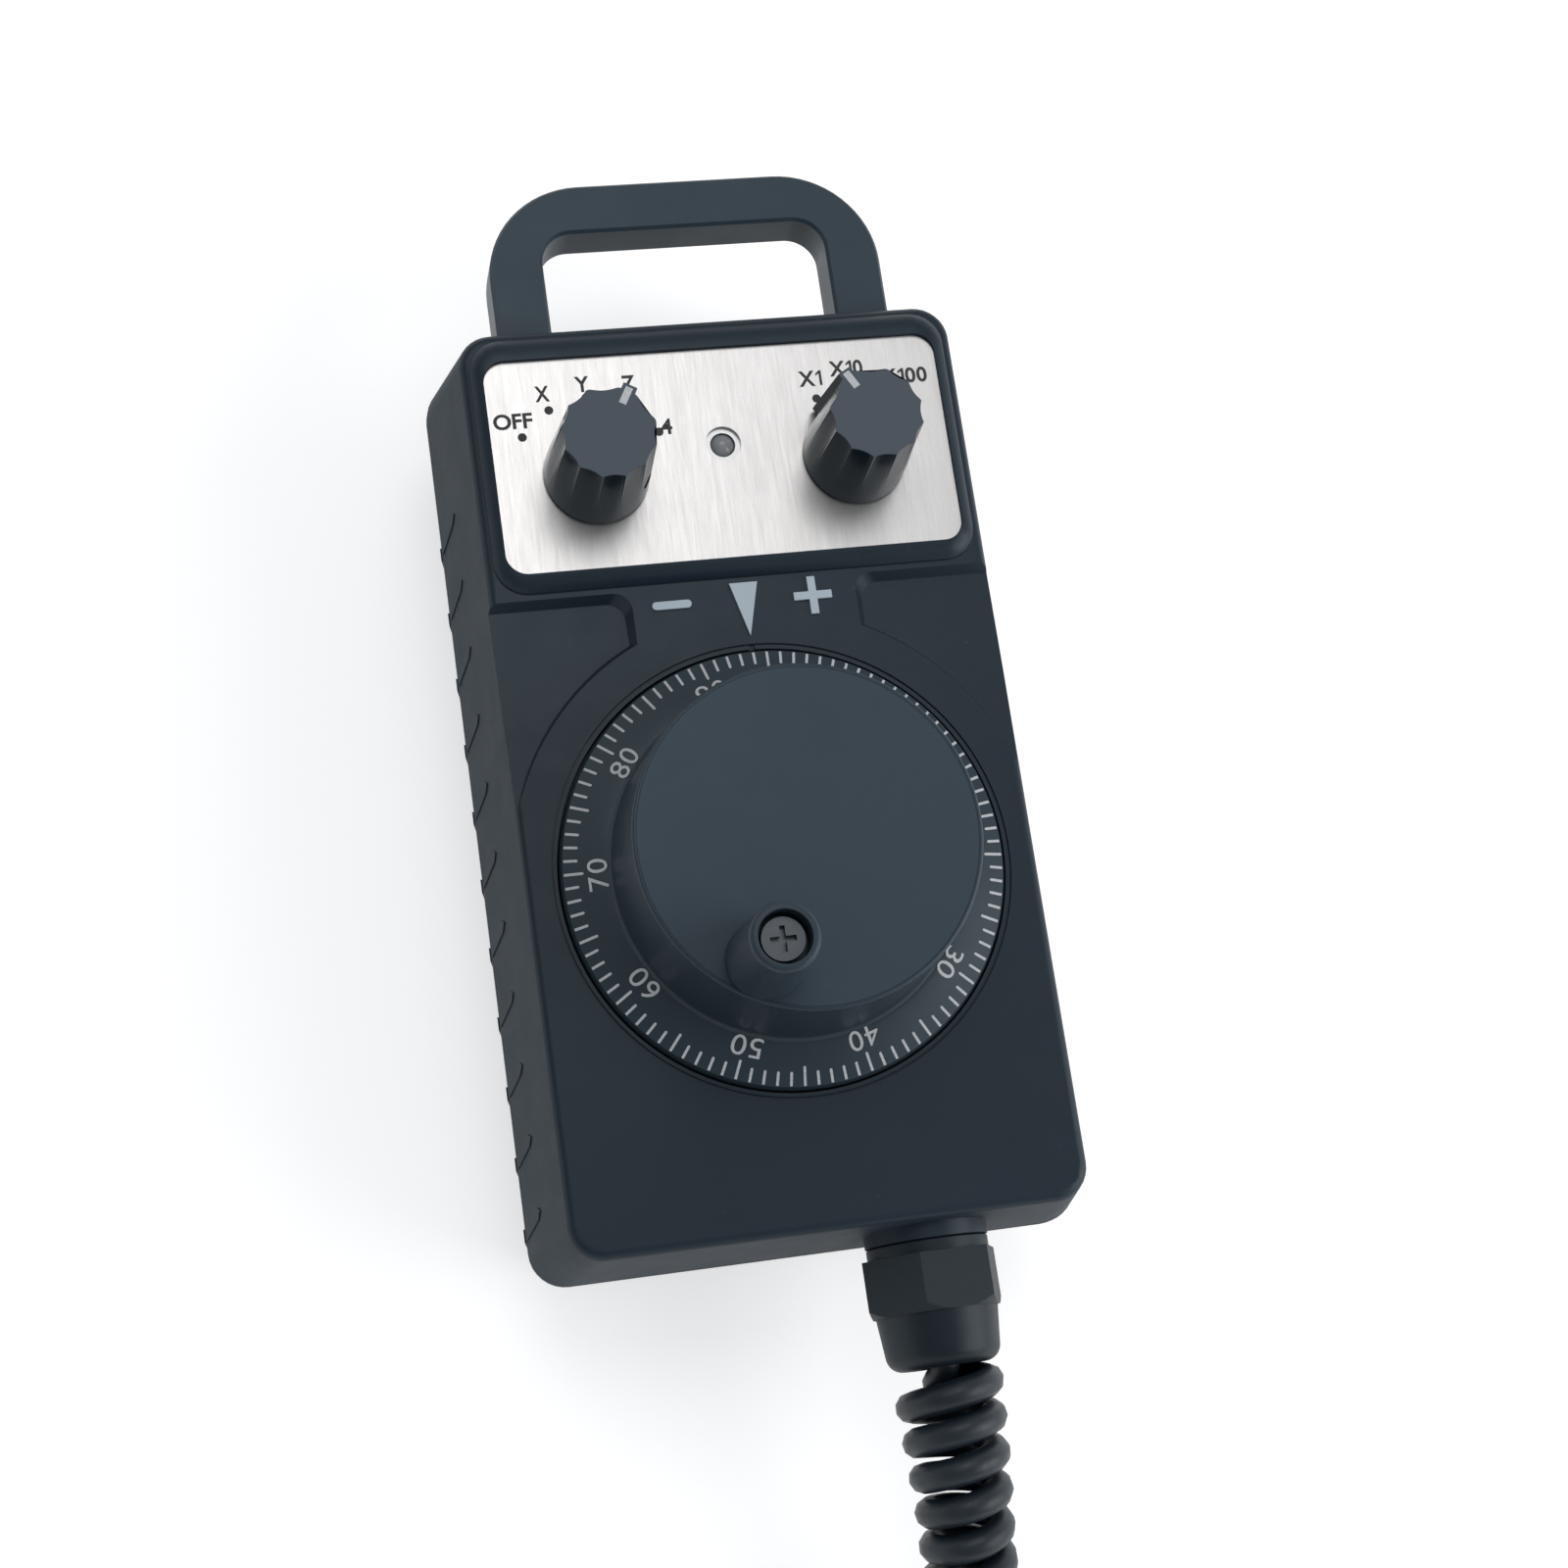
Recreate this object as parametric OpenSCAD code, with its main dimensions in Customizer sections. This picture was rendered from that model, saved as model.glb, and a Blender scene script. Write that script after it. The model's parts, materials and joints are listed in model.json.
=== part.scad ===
// Hand-held pulse generator handwheel: a moulded pendant with a hanging loop, two rotary
// selectors, a lamp, a graduated handwheel with a finger crank, and a curly cord.
// +Z is the outward normal of the face, +Y points to the hanging loop, and the origin is on
// the back face, straight under the axis of the handwheel.

/* [Housing] */
// Width of the housing at its parting line
housing_w = 76; // [75:0.5:80]
// Width of the flat face
face_w = 69.6; // [68:0.1:72]
// Depth of the housing, back face to face
housing_d = 40; // [39:0.5:46]
// Height of the parting line above the back face
parting_z = 20; // [19:0.5:21]
// Distance from the dial axis to the cord end of the housing
cord_end = 49.7; // [49:0.1:54]
// Distance from the dial axis to the loop end of the housing
loop_end = 79.3; // [78:0.1:82]
// Wall thickness of the shells
wall = 2.6; // [2:0.1:3]

/* [Hanging loop] */
// Outer width of the loop
loop_w = 56.4; // [54:0.2:57]
// Clear width inside the loop
loop_gap_w = 41; // [38:0.2:43]
// Reach of the loop beyond the dial axis
loop_top = 102.8; // [98:0.2:112]
// Thickness of the loop
loop_t = 7.6; // [6:0.1:8]

/* [Face plate] */
// Width of the plate
plate_w = 63.6; // [62:0.2:64]
// Length of the plate
plate_l = 30.6; // [29:0.2:31]
// Thickness of the plate
plate_t = 1; // [0.8:0.1:1.2]
// Distance of each selector from the centre line
selector_x = 18.1; // [17:0.1:19]
// Distance of the selectors from the dial axis
selector_y = 56.7; // [56:0.1:58]

/* [Handwheel] */
// Diameter of the dial
dial_d = 60; // [58:0.5:60.5]
// Top diameter of the raised boss
boss_d = 45; // [44:0.5:46]
// Height of the boss above the face
boss_h = 18.7; // [17:0.1:20]
// Distance of the finger crank from the dial axis
crank_r = 17.5; // [17:0.1:17.8]
// Height of the finger grip
grip_h = 15.3; // [14:0.1:18]

/* [Cord] */
// Outer diameter of the curly cord
coil_d = 13.6; // [13:0.2:14]
// Diameter of its strand
strand_d = 4; // [3.8:0.1:4.4]

/* [Hidden] */
$fn = 48;
hull_fn = 32;

// Housing levels and outlines
face_z = housing_d;
gasket_t = 0.5;
edge_r = 1.3;
corner_r = 5;
face_corner_r = 4.7;
face_cord_end = cord_end - 1.2;
face_loop_end = loop_end - 0.7;
belt_h = 1.5;
front_lean = atan((housing_w - face_w) / 2 / (face_z - edge_r - parting_z));
back_inset = 3;
back_r = 3;
rear_lean = atan(back_inset / (parting_z - gasket_t - belt_h - back_r));
post_x = 28.8;
post_ys = [-40.5, 66];
post_r = 3.1;
screw_r = 1.5;
seat_z = 5;

// Plate
plate_y = 58.5;
plate_r = 3;
plate_z = face_z + 0.9;
lip_z = face_z + 1.6;
lip_fade = 3;
lip_y = [40.6, 77.4];

// Pockets beside the pointer
pocket_depth = 1.5;
tongue_w = 31;
bezel_r = 36;
pocket_top = 39.9;

// Loop
loop_z = 30.2;
leg_w = (loop_w - loop_gap_w) / 2;
bar_w = 7.2;
loop_soft = 0.5;
loop_outer_r = 14;
loop_inner_r = 4.5;
foot_y = loop_end - 3.6;

// Selectors
knob_z = plate_z + 0.7;
knob_h = 15.2;
knob_r = 7.25;
knob_top_r = 6.4;
skirt_h = 4.5;
spindle_r = 3;
bush_r = 3.5;
switch_w = 15;
switch_z = 27;
roof_z = face_z - wall;

// Lamp
led_y = 59.8;
lamp_r = 2.5;

// Handwheel
dial_r = dial_d / 2;
dial_pocket_r = dial_r + 0.35;
dial_floor_z = 37.4;
tick_z = face_z + 1;
cone_r = 24;
cone_z = tick_z + 1.55;
boss_z = face_z + boss_h;
boss_r = boss_d / 2;
boss_base_r = boss_r + 0.9;
cap_r = boss_r - 0.35;
cap_t = 1.2;
shaft_r = 3;
crank_angle = 242.5;
crank_x = crank_r * cos(crank_angle);
crank_y = crank_r * sin(crank_angle);
grip_z = boss_z + 0.1;

// Encoder
encoder_r = 23;
encoder_top = 34.2;
encoder_bottom = 15;
encoder_screw_r = 19.6;
teeth = 100;

// Gland and cord
gland_x = 14.1;
gland_z = 28.5;
gland_face = cord_end + 1;
collar_l = 1.8;
gland_hex_l = 7.6;
gland_dome_l = 7.2;
gland_mouth = gland_face + collar_l + gland_hex_l + gland_dome_l;
// Route of the curly cord: out of the gland, down to the surface that the housing lies on,
// then folded into three runs side by side
cord_route = [
    [14.1, -67.3, 28.5], [14.2, -78, 27.6], [14.3, -86, 26.1], [14.4, -93, 23.6], [14.7, -99.5, 20.2],
    [15.4, -106.5, 16.2], [16.7, -114, 12.4], [18.7, -122, 9.6], [21.2, -130, 8.1], [23.2, -139, 7.6],
    [24, -150, 7.6], [24, -175, 7.6], [24, -200, 7.6], [24, -230, 7.6],
    [24, -258, 7.6], [20.5, -266.5, 7.6], [12, -270, 7.6], [3.5, -266.5, 7.6], [0, -258, 7.6],
    [0, -230, 7.6], [0, -200, 7.6], [0, -175, 7.6], [0, -148, 7.6], [-3.5, -139.5, 7.6],
    [-12, -136, 7.6], [-20.5, -139.5, 7.6], [-24, -148, 7.6], [-24, -175, 7.6], [-24, -200, 7.6],
    [-24, -230, 7.6], [-24, -258, 7.6],
];
tail_route = [
    [-24, -258, 7.6], [-24, -266, 7.8], [-23, -274, 8.4], [-20, -282, 9.2], [-14, -287, 9.8],
    [-8, -287, 9.8],
];
tie_y = -195;
tie_w = 16;
tie_t = 0.6;
plug_r = 8.2;
plug_l = 42;

// ---- shapes that repeat ----

module rounded_rect(w, y0, y1, r) {
    for (x = [r - w / 2, w / 2 - r]) for (y = [y0 + r, y1 - r]) translate([x, y]) circle(r);
    translate([-w / 2, y0 + r]) square([w, y1 - y0 - 2 * r]);
    translate([r - w / 2, y0]) square([w - 2 * r, y1 - y0]);
}

module at_corners(w, y0, y1, r) {
    for (x = [r - w / 2, w / 2 - r]) for (y = [y0 + r, y1 - r]) translate([x, y, 0]) children();
}

// A disc whose upper edge is rounded: out is the width of the rounding and up its height
module rounded_disc(r, out, up) {
    arc = [for (a = [0 : 18 : 90]) [r - out + out * cos(a), up * sin(a) - up]];
    rotate_extrude($fn = hull_fn) polygon(concat([[0, -up]], arc, [[0, 0]]));
}

// Straight-edged cylinder along -Y, from y to y - length
module along_y(x, y, z, r, length, sides = 48) {
    translate([x, y, z]) rotate([90, 0, 0]) cylinder(r = r, h = length, $fn = sides);
}

module at_selector(side) {
    translate([side * selector_x, selector_y, 0]) children();
}

module at_crank() {
    translate([crank_x, crank_y, 0]) children();
}

// Sweep of a round section along a route of points
function unit(v) = v / norm(v);
function route_dir(p, i) = unit(p[min(i + 1, len(p) - 1)] - p[max(i - 1, 0)]);
function ring_at(p, i, r, sides) =
    let (t = i == 0 ? [0, -1, 0] : route_dir(p, i),
         u = unit(cross(t, [0, 0, 1])), v = cross(u, t))
    [for (k = [0 : sides - 1]) let (a = (k + 0.5) * 360 / sides) p[i] + r * (cos(a) * u + sin(a) * v)];

module tube_along(p, r, sides) {
    skin([for (i = [0 : len(p) - 1]) for (q = ring_at(p, i, r, sides)) q], sides);
}

// Closed skin over rings of points that turn clockwise as seen along the way they advance
module skin(points, sides) {
    n = len(points) / sides;
    walls = [for (i = [0 : n - 2]) for (k = [0 : sides - 1])
        [i * sides + k, i * sides + (k + 1) % sides,
         (i + 1) * sides + (k + 1) % sides, (i + 1) * sides + k]];
    first = [for (k = [sides - 1 : -1 : 0]) k];
    last = [for (k = [0 : sides - 1]) (n - 1) * sides + k];
    polyhedron(points = points, faces = concat([first], walls, [last]));
}

// ---- housing ----

module front_form() {
    hull() {
        at_corners(housing_w, -cord_end, loop_end, corner_r)
            translate([0, 0, parting_z]) cylinder(r = corner_r, h = 0.4, $fn = hull_fn);
        at_corners(face_w, -face_cord_end, face_loop_end, face_corner_r)
            translate([0, 0, face_z]) rounded_disc(face_corner_r, edge_r, edge_r);
    }
    hull() at_corners(face_w - 2.4, lip_y[0], lip_y[1], face_corner_r)
        translate([0, 0, lip_z]) rounded_disc(face_corner_r, lip_fade, lip_z - face_z + 0.2);
}

module front_cavity() {
    hull() {
        translate([0, 0, parting_z - 1]) linear_extrude(0.5)
            square_between(housing_w / 2 - wall, -cord_end + wall + 0.6, foot_y);
        translate([0, 0, roof_z - 0.5]) linear_extrude(0.5)
            square_between(face_w / 2 - wall, -cord_end + wall + 0.6, foot_y);
    }
}

module square_between(half_w, y0, y1) {
    translate([-half_w, y0]) square([2 * half_w, y1 - y0]);
}

// Outline of a pocket beside the pointer, grown by d at its two inner walls
module pocket_outline(d) {
    corner = 2.5;
    x = tongue_w / 2 - d;
    translate([x, 0]) square([housing_w, pocket_top + d - corner]);
    translate([x + corner, 0]) square([housing_w, pocket_top + d]);
    translate([x + corner, pocket_top + d - corner]) circle(corner);
}

// One pocket beside the pointer: its floor slopes up to the face at the height of the dial axis
module pocket(side) {
    slope = atan(pocket_depth / pocket_top);
    mirror([side > 0 ? 0 : 1, 0, 0]) difference() {
        hull() {
            translate([0, 0, face_z - pocket_depth]) linear_extrude(0.01) pocket_outline(-1.1);
            translate([0, 0, face_z + 2]) linear_extrude(0.01) pocket_outline(1.45);
        }
        translate([0, 0, face_z - 2]) cylinder(r1 = bezel_r + 1, r2 = bezel_r - 1, h = 4, $fn = 96);
        translate([-1, 0, face_z]) rotate([-slope, 0, 0]) translate([0, -5, -8]) cube([2 * housing_w, 60, 8]);
    }
}

rib_pitch = 9.7;
rib_count = 11;
rib_y0 = 54.8;
rib_h = 8.5;
rib_slant = 0.26;
rib_proud = 0.22;

// Slanted grip ribs lying on both side walls, reaching up (way 1) or down (way -1) from height z;
// the walls lean in by the angle lean, and the upper ribs stop short of the gasket
module grip_ribs(z, way, lean) {
    tip = way * rib_h;
    shoulder = way * (rib_h - 1.2);
    foot = way > 0 ? 0.4 : 0;
    for (side = [-1, 1]) for (i = [0 : rib_count - 1])
        translate([side * housing_w / 2, rib_y0 - i * rib_pitch, z]) rotate([0, -side * way * lean, 0])
            rotate([90, 0, side * 90]) mirror([side > 0 ? 0 : 1, 0, 0]) translate([0, 0, -2])
                linear_extrude(2 + rib_proud)
                    polygon([[-0.9, foot], [0.9, foot], [rib_slant * shoulder + 0.8, shoulder],
                             [rib_slant * tip, tip], [rib_slant * shoulder - 0.8, shoulder]]);
}

module screw_posts(z0, z1, r) {
    for (x = [-post_x, post_x]) for (y = post_ys)
        translate([x, y, z0]) cylinder(r = r, h = z1 - z0);
}

module front_housing() {
    color("#39444c") difference() {
        union() {
            difference() {
                front_form();
                front_cavity();
            }
            grip_ribs(parting_z, 1, front_lean);
            intersection() {
                union() {
                    screw_posts(parting_z, roof_z + 0.5, post_r);
                    translate([0, 0, encoder_top]) cylinder(r = 32.5, h = face_z - encoder_top - 1);
                    along_y(gland_x, -cord_end + 4.5, gland_z, 8.3, 5.5);
                }
                translate([-housing_w, -cord_end - 1, parting_z]) cube([2 * housing_w, 150, 18.5]);
            }
        }
        // plate recess and the holes behind it
        translate([0, plate_y, plate_z - plate_t]) linear_extrude(3)
            rounded_rect(plate_w + 0.1, -plate_l / 2 - 0.05, plate_l / 2 + 0.05, plate_r);
        for (side = [-1, 1]) at_selector(side)
            translate([0, 0, roof_z - 1]) cylinder(r = bush_r + 0.05, h = 6);
        translate([0, led_y, roof_z - 1]) cylinder(r = lamp_r, h = 6);
        // dial pocket, its thin bezel groove and the opening for the encoder spigot
        translate([0, 0, dial_floor_z]) cylinder(r = dial_pocket_r, h = 4, $fn = 96);
        translate([0, 0, encoder_top - 1]) cylinder(r = 9.05, h = 5);
        translate([0, 0, face_z - 0.35]) difference() {
            cylinder(r = dial_r + 1.15, h = 2, $fn = 96);
            translate([0, 0, -1]) cylinder(r = dial_r + 0.85, h = 4, $fn = 96);
        }
        translate([-0.4, dial_r, face_z - 0.5]) cube([0.8, 1.1, 2]);
        for (side = [-1, 1]) pocket(side);
        // seats of the three raised marks
        translate([0, 0, face_z - 0.8]) linear_extrude(3) {
            minus_outline();
            pointer_outline();
            plus_outline();
        }
        // encoder screws
        for (a = [30 : 120 : 270]) rotate([0, 0, a]) translate([encoder_screw_r, 0, encoder_top - 1])
            cylinder(r = screw_r + 0.05, h = 6);
        // slots for the legs of the loop, open at the parting line
        for (side = [-1, 1]) translate([side * (loop_w / 2 - leg_w / 2), foot_y - 1, parting_z - 1])
            translate([-leg_w / 2, 0, 0]) cube([leg_w, 8, loop_z + loop_t / 2 - parting_z + 1]);
        // gland hole and screw holes
        along_y(gland_x, -cord_end + 10, gland_z, 6.05, 20);
        screw_posts(parting_z - 1, roof_z - 2, screw_r + 0.02);
    }
}

module rear_form(top) {
    hull() {
        at_corners(housing_w, -cord_end, loop_end, corner_r)
            translate([0, 0, top - belt_h]) cylinder(r = corner_r, h = belt_h, $fn = hull_fn);
        at_corners(housing_w - 2 * back_inset, -cord_end + back_inset, loop_end - back_inset, corner_r)
            mirror([0, 0, 1]) rounded_disc(corner_r, back_r, back_r);
    }
}

module rear_cavity(top) {
    hull() {
        translate([0, 0, top]) linear_extrude(0.5)
            square_between(housing_w / 2 - wall, -cord_end + wall + 0.6, foot_y);
        translate([0, 0, wall]) linear_extrude(0.5)
            square_between(housing_w / 2 - back_inset - wall, -cord_end + back_inset + wall,
                           foot_y - 2);
    }
}

module at_board_screws() {
    for (x = [-20, 20]) for (y = [-33, 40]) translate([x, y, 0]) children();
}

module rear_housing() {
    top = parting_z - gasket_t;
    color("#333e46") difference() {
        union() {
            difference() {
                rear_form(top);
                rear_cavity(top);
            }
            grip_ribs(top - belt_h, -1, rear_lean);
            screw_posts(1, parting_z, post_r);
            // board pillars and the tongues that close the slots under the loop
            at_board_screws() translate([0, 0, wall - 0.5]) cylinder(r = 2.6, h = seat_z - wall + 0.5);
            for (side = [-1, 1]) translate([side * (loop_w - leg_w) / 2 - leg_w / 2 + 0.1, foot_y, top - 5])
                cube([leg_w - 0.2, 3, loop_z - loop_t / 2 - top + 5]);
        }
        translate([0, 0, top - 0.7]) gasket_band(1.2, 5);
        screw_posts(-1, parting_z + 1, screw_r + 0.15);
        screw_posts(-1, 3.2, 3.05);
        at_board_screws() translate([0, 0, wall]) cylinder(r = 1.25, h = 10);
    }
}

module gasket_outline(inset) {
    rounded_rect(housing_w - 2 * inset, inset - cord_end, loop_end - inset, corner_r - inset);
}

module gasket_band(w, h) {
    linear_extrude(h) difference() {
        gasket_outline(0.8);
        gasket_outline(0.8 + w);
    }
}

module housing_gasket() {
    color("#15181a") translate([0, 0, parting_z - gasket_t - 0.7]) gasket_band(1.2, 0.7 + gasket_t);
}

module pan_screw(r, length, head_r, head_h) {
    translate([0, 0, -length]) cylinder(r = r, h = length);
    difference() {
        cylinder(r = head_r, h = head_h);
        for (a = [0, 90]) rotate([0, 0, a]) translate([-head_r * 0.6, -0.35, head_h - 1])
            cube([head_r * 1.2, 0.7, 2]);
    }
}

module housing_screws() {
    color("silver") for (x = [-post_x, post_x]) for (y = post_ys)
        translate([x, y, 3.2]) mirror([0, 0, 1]) pan_screw(screw_r, 27, 2.9, 2);
}

// Slice of the loop's outline between two heights, pulled in by soft at its upper end
module loop_slice(h, soft) {
    hull() for (side = [-1, 1]) {
        translate([side * (loop_w / 2 - loop_outer_r), loop_top - loop_outer_r, 0])
            cylinder(r1 = loop_outer_r, r2 = loop_outer_r - soft, h = h, $fn = 64);
        translate([side * (loop_w / 2 - 2), foot_y + 1, 0])
            cylinder(r1 = 2, r2 = 2 - soft, h = h, $fn = 16);
    }
}

// Slice of the finger opening between two heights, opened out by soft at its upper end
module opening_slice(h, soft) {
    hull() for (side = [-1, 1]) {
        translate([side * (loop_gap_w / 2 - loop_inner_r), loop_top - bar_w - loop_inner_r, 0])
            cylinder(r1 = loop_inner_r, r2 = loop_inner_r + soft, h = h, $fn = 48);
        translate([side * (loop_gap_w / 2 - 2), foot_y - 8, 0])
            cylinder(r1 = 2, r2 = 2 + soft, h = h, $fn = 16);
    }
}

module loop_half() {
    flat = loop_t / 2 - loop_soft;
    difference() {
        union() {
            translate([0, 0, -0.2]) loop_slice(flat + 0.2, 0);
            translate([0, 0, flat]) loop_slice(loop_soft, loop_soft * 0.8);
        }
        translate([0, 0, -1]) opening_slice(flat + 1, 0);
        translate([0, 0, flat]) opening_slice(loop_soft, loop_soft * 0.8);
        translate([0, 0, loop_t / 2 - 0.01]) opening_slice(1, 0);
    }
}

module carry_handle() {
    side_x = loop_w / 2 - leg_w / 2;
    color("#37424a") translate([0, 0, loop_z]) {
        loop_half();
        mirror([0, 0, 1]) loop_half();
        for (side = [-1, 1]) translate([side * (side_x - 1) - 5.2, foot_y - 3, -5]) cube([10.4, 3, 10]);
    }
}

// ---- plate and marks ----

module face_plate() {
    color("#d9d7d4") translate([0, plate_y, plate_z - plate_t]) linear_extrude(plate_t) difference() {
        rounded_rect(plate_w, -plate_l / 2, plate_l / 2, plate_r);
        for (side = [-1, 1]) translate([side * selector_x, selector_y - plate_y]) circle(bush_r + 0.05);
        translate([0, led_y - plate_y]) circle(lamp_r);
    }
}

mark_y = 37.2;

module minus_outline() {
    for (x = [-12.3, -8]) translate([x, mark_y + 0.3]) circle(0.55);
    translate([-12.3, mark_y - 0.25]) square([4.3, 1.1]);
}

module pointer_outline() {
    polygon([[-1.95, 39.8], [1.95, 39.8], [0, 32.2]]);
}

module plus_outline() {
    translate([9.4, mark_y]) {
        square([5.3, 1.1], center = true);
        square([1.1, 5.3], center = true);
    }
}

module raised_mark() {
    color("#8f9aa0") translate([0, 0, face_z - 0.8]) linear_extrude(1.2) children();
}

module minus_mark() raised_mark() minus_outline();
module pointer_mark() raised_mark() pointer_outline();
module plus_mark() raised_mark() plus_outline();

// ---- selectors ----

line_x = 4.4;
line_l = 2.5;

// Nine scallops side by side opposite the pointer and a broader one on each side of it; all
// deepen from the skirt to the top of the knob
scallop_pitch = 28.5;
row_end = 180 - 4.5 * scallop_pitch;
knob_angles = concat([for (i = [0 : 89]) row_end + i * scallop_pitch / 10],
                     [for (i = [0 : 35]) i * row_end / 18 - row_end]);
function hollow(off, half) = abs(off) < half ? 1 - pow(off / half, 2) : 0;
function row_scallop(away) =
    hollow((180 + scallop_pitch / 2 - away) % scallop_pitch - scallop_pitch / 2, scallop_pitch / 2);
function scallop(away) = away < row_end ? 0.6 * hollow(away - 30, 17.5) : 0.47 * row_scallop(away);
function knob_wall(a, z) = knob_r - (knob_r - knob_top_r) * z / knob_h
    - scallop(a > 180 ? 360 - a : abs(a)) * max(0, z - skirt_h) / (knob_h - skirt_h);

// Fluted knob with a pointer fin and a hollow foot over the bush nut; its pointer line faces
// the given angle
module fluted_knob(angle) {
    rotate([0, 0, angle]) difference() {
        union() {
            skin([for (z = [0, skirt_h, knob_h]) for (a = knob_angles) let (r = knob_wall(a, z))
                [r * cos(a), -r * sin(a), z]], len(knob_angles));
            translate([0, 0.975, 0]) rotate([90, 0, 0]) linear_extrude(1.95)
                polygon([[5.8, 0.2], [8.5, 0.2], [8.5, 0.8], [7.25, knob_h], [5.8, knob_h]]);
        }
        translate([line_x, -0.5, knob_h - 0.5]) cube([line_l, 1, 1]);
        translate([0, 0, -1]) cylinder(r = 5.5, h = 3.6);
        translate([0, 0, -1]) cylinder(r = spindle_r, h = knob_h - 1.4);
        translate([0, 0, 5]) rotate([90, 0, 0]) cylinder(r = 1.25, h = knob_r + 1);
    }
}

module knob_line(angle) {
    color("white") translate([0, 0, knob_z + knob_h - 0.5]) rotate([0, 0, angle])
        translate([line_x, -0.5, 0]) cube([line_l, 1, 0.5]);
}

module knob_screw(angle) {
    color("dimgray") translate([0, 0, knob_z + 5]) rotate([0, 0, angle]) rotate([90, 0, 0])
        translate([0, 0, spindle_r]) cylinder(r = 1.25, h = 2.6);
}

module spindle() {
    color("silver") translate([0, 0, switch_z + 2.1])
        cylinder(r = spindle_r, h = knob_z + knob_h - 2.4 - switch_z - 2.1);
}

module rotary_switch() {
    color("#2b2b2b") difference() {
        union() {
            translate([-switch_w / 2, -switch_w / 2, switch_z]) cube([switch_w, switch_w, roof_z - switch_z]);
            translate([0, 0, roof_z]) cylinder(r = bush_r, h = plate_z + 2.4 - roof_z);
            for (a = [0 : 30 : 330]) rotate([0, 0, a]) translate([5.6, 0, switch_z - 3])
                cylinder(r = 0.5, h = 3.5, $fn = 16);
        }
        translate([0, 0, switch_z + 2]) cylinder(r = spindle_r + 0.06, h = 30);
    }
}

module bush_nut() {
    color("silver") translate([0, 0, plate_z]) difference() {
        cylinder(r = 5.1, h = 2, $fn = 6);
        translate([0, 0, -1]) cylinder(r = bush_r, h = 4);
    }
}

axis_angle = 60;
multiplier_angle = 120;

module whole_knob(angle) color("#15181a") translate([0, 0, knob_z]) fluted_knob(angle);

module axis_knob() at_selector(-1) whole_knob(axis_angle);
module axis_knob_line() at_selector(-1) knob_line(axis_angle);
module axis_knob_screw() at_selector(-1) knob_screw(axis_angle);
module axis_shaft() at_selector(-1) spindle();
module axis_switch() at_selector(-1) rotary_switch();
module axis_switch_nut() at_selector(-1) bush_nut();
module multiplier_knob() at_selector(1) whole_knob(multiplier_angle);
module multiplier_knob_line() at_selector(1) knob_line(multiplier_angle);
module multiplier_knob_screw() at_selector(1) knob_screw(multiplier_angle);
module multiplier_shaft() at_selector(1) spindle();
module multiplier_switch() at_selector(1) rotary_switch();
module multiplier_switch_nut() at_selector(1) bush_nut();

// ---- lamp ----

module led_lens() {
    color("lightgray") translate([0, led_y, 0]) {
        translate([0, 0, plate_z - 3.5]) cylinder(r = 1.75, h = 2);
        translate([0, 0, plate_z - 1.5]) intersection() {
            sphere(1.75);
            translate([-2, -2, 0]) cube(4);
        }
    }
}

module led_holder() {
    color("#202325") translate([0, led_y, 0]) difference() {
        union() {
            translate([0, 0, roof_z - 2]) cylinder(r = lamp_r + 1.2, h = 2);
            translate([0, 0, roof_z]) cylinder(r = lamp_r, h = plate_z - 0.6 - roof_z);
        }
        translate([0, 0, plate_z - 3.5]) cylinder(r = 1.75, h = 5);
    }
}

// ---- handwheel ----

function arc(x, y, r, from, to, steps) =
    [for (i = [0 : steps]) let (a = from + (to - from) * i / steps) [x + r * cos(a), y + r * sin(a)]];

hub_r = 8;
hub_z = 38;
web_z = boss_z - cap_t - 2;
well_z = boss_z - 4.2;
shaft_top = well_z - 2.5;

module dial_profile() {
    outer = concat(
        [[dial_r, hub_z], [dial_r, tick_z - 0.7], [dial_r - 0.3, tick_z], [cone_r + 0.6, cone_z - 0.1]],
        arc(boss_base_r + 1.2, cone_z + 1, 1.2, 240, 180, 4),
        [[boss_r + 0.25, boss_z - 0.7]],
        arc(boss_r - 0.15, boss_z - 0.4, 0.4, 10, 90, 4));
    top = [[cap_r + 0.05, boss_z], [cap_r + 0.05, boss_z - cap_t], [5, boss_z - cap_t], [5, well_z],
           [screw_r + 0.1, well_z], [screw_r + 0.1, shaft_top + 0.4], [shaft_r, shaft_top + 0.4]];
    under = [[shaft_r, hub_z], [hub_r, hub_z], [hub_r, web_z], [boss_r - 1.6, web_z],
             [boss_r - 1.6, cone_z - 1.5], [dial_r - 1.8, tick_z - 1.7], [dial_r - 1.8, hub_z]];
    polygon(concat(outer, top, under));
}

module handwheel_dial() {
    color("#2c373f") difference() {
        union() {
            rotate_extrude($fn = 96) dial_profile();
            at_crank() translate([0, 0, boss_z - 10]) cylinder(r = 3.6, h = 10 - cap_t);
        }
        at_crank() translate([0, 0, boss_z - 9]) cylinder(r = screw_r, h = 10);
    }
}

module dial_cap() {
    color("#39444c") difference() {
        translate([0, 0, boss_z - cap_t]) cylinder(r = cap_r, h = cap_t, $fn = 96);
        at_crank() translate([0, 0, boss_z - 3]) cylinder(r = 2.9, h = 5);
    }
}

module dial_screw() {
    color("silver") translate([0, 0, well_z]) pan_screw(screw_r, 9, 2.75, 2);
}

grip_floor = grip_z + grip_h - 4;
bush_top = grip_floor + 0.15;

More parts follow.
